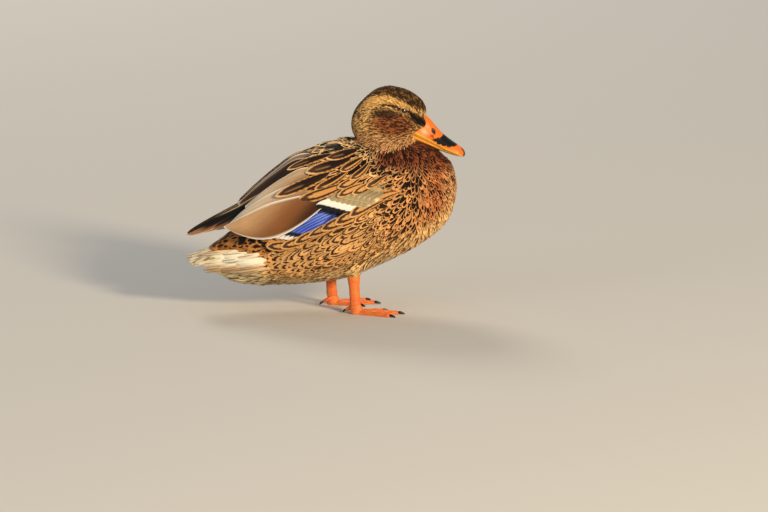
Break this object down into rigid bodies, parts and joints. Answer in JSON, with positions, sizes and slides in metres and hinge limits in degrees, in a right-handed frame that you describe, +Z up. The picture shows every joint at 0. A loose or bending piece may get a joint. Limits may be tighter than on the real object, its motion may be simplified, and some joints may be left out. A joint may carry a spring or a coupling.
{
  "type": "female mallard duck",
  "caption": "Life-size still model of a standing female mallard duck: plumage fluffed, head drawn in, wings folded, webbed feet flat on the ground.",
  "frame": {"origin": "centre of the bounding box in plan, on the ground under the soles", "axes": "+X the way the bird faces, +Y its left side, +Z up"},
  "size_m": [0.2866, 0.1244, 0.2339],
  "materials": {
    "body_feathers": "soft matt feathers, buff to rufous with dark brown centres",
    "head_feathers": "short matt feathers, buff streaked with dark brown",
    "wing_feathers": "matt to satin feathers, brown with buff edges",
    "speculum_feathers": "satin feathers, iridescent blue between black and white bars",
    "flight_feathers": "satin flight feathers, dark brown",
    "tail_feathers": "matt feathers, cream with brown marks",
    "bill_skin": "smooth satin skin, orange with a black saddle and nail",
    "leg_skin": "scaly satin skin, orange-red",
    "horn": "dark glossy horn",
    "eye": "wet glossy dark brown"
  },
  "bodies": {
    "root": {"bill_lower": "bill_skin", "bill_upper": "bill_skin", "claw_left_hind": "horn", "claw_left_inner": "horn", "claw_left_middle": "horn", "claw_left_outer": "horn", "claw_right_hind": "horn", "claw_right_inner": "horn", "claw_right_middle": "horn", "claw_right_outer": "horn", "eye_left": "eye", "eye_right": "eye", "flank_left": "body_feathers", "flank_right": "body_feathers", "foot_left": "leg_skin", "foot_right": "leg_skin", "head": "head_feathers", "neck": "body_feathers", "primaries_left": "flight_feathers", "primaries_right": "flight_feathers", "secondaries_left": "speculum_feathers", "secondaries_right": "speculum_feathers", "shoulder_left": "wing_feathers", "shoulder_right": "wing_feathers", "tail": "tail_feathers", "tail_coverts_under": "body_feathers", "tail_coverts_upper": "body_feathers", "tarsus_left": "leg_skin", "tarsus_right": "leg_skin", "tertials_left": "wing_feathers", "tertials_right": "wing_feathers", "thigh_left": "body_feathers", "thigh_right": "body_feathers", "trunk": "body_feathers"}
  },
  "joints": []
}
